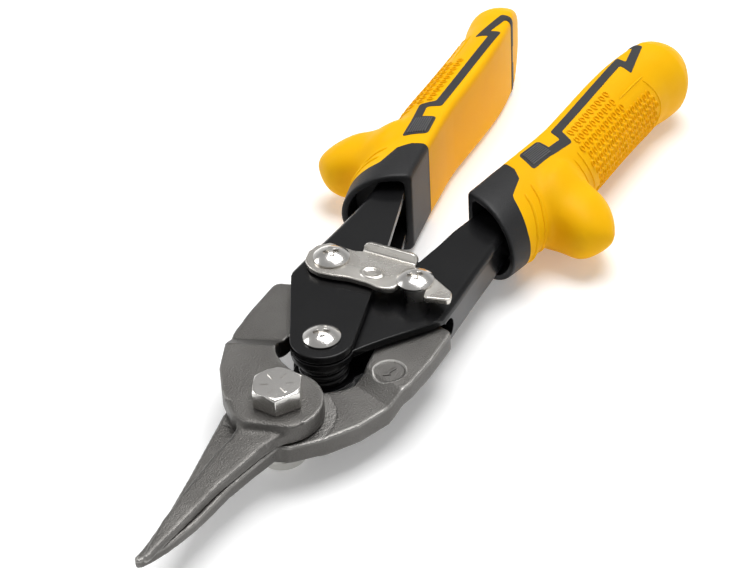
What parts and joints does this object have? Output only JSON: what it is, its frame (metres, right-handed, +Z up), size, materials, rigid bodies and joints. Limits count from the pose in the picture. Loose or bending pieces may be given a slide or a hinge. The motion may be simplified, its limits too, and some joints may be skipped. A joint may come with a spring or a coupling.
{
  "type": "aviation snips",
  "caption": "Compound-leverage sheet-metal snips with crossed blades, nested channel levers, a swinging latch and cushioned grips with finger guards.",
  "frame": {"origin": "centre of the pivot nut's underside, on the blade pivot's axis, where the tool lies on a table", "axes": "+X along the tool from the blade pivot to the grips, so the blade tip points along -X; +Z up along the pivot bolt; the left lever is on the +Y side"},
  "size_m": [0.2502, 0.092, 0.0271],
  "materials": {
    "blade_steel": "sand-blasted dark steel with polished edges",
    "bright_nickel": "bright nickel plate",
    "plated_nut": "satin zinc plate",
    "nylon": "plain nylon",
    "black_paint": "gloss black baked enamel",
    "turned_steel": "turned steel",
    "spring_steel": "black oxide wire",
    "latch_nickel": "satin nickel plate on pressed sheet",
    "grip_core": "fine moulded dark grey plastic",
    "grip_cover": "satin yellow thermoplastic rubber"
  },
  "bodies": {
    "left_handle": {"left_lever": "black_paint", "left_grip_core": "grip_core", "left_grip_cover": "grip_cover", "left_tail_screw": "bright_nickel", "left_tail_nut": "plated_nut", "left_tail_spacers": "turned_steel", "fulcrum_screw": "bright_nickel", "fulcrum_nut": "plated_nut", "fulcrum_sleeve": "turned_steel", "fulcrum_washers": "black_paint", "return_spring": "spring_steel", "latch_washer": "turned_steel"},
    "right_handle": {"right_lever": "black_paint", "right_grip_core": "grip_core", "right_grip_cover": "grip_cover", "right_tail_screw": "bright_nickel", "right_tail_nut": "plated_nut", "right_tail_washers": "turned_steel", "right_tail_bush": "turned_steel"},
    "upper_blade": {"upper_blade": "blade_steel", "pivot_bolt": "bright_nickel", "pivot_nut": "plated_nut", "pivot_nut_insert": "nylon"},
    "lower_blade": {"lower_blade": "blade_steel"},
    "latch": {"latch": "latch_nickel"}
  },
  "joints": [
    {"name": "handle_open", "type": "hinge", "parent": "left_handle", "child": "right_handle", "pos_m": [0.0233, 0, 0.0132], "axis": [0, 0, -1], "range_deg": [0, 40], "deforming": ["return_spring"]},
    {"name": "upper_tail_pin", "type": "hinge", "parent": "left_handle", "child": "upper_blade", "pos_m": [0.0519, 0.0124, 0.0132], "axis": [0, 0, -1], "range_deg": [0, 9.6]},
    {"name": "blade_pivot", "type": "hinge", "parent": "upper_blade", "child": "lower_blade", "pos_m": [0, 0, 0.0132], "axis": [0, 0, -1], "range_deg": [0, 20.8]},
    {"name": "latch_swing", "type": "hinge", "parent": "left_handle", "child": "latch", "pos_m": [0.0519, 0.0124, 0.0132], "axis": [0, 0, 1], "range_deg": [0, 80]}
  ],
  "couplings": [
    {"joint": "upper_tail_pin", "follows": "handle_open", "ratio": 0.24},
    {"joint": "blade_pivot", "follows": "handle_open", "ratio": 0.52},
    {"joint": "latch_swing", "follows": "handle_open", "ratio": 2}
  ]
}
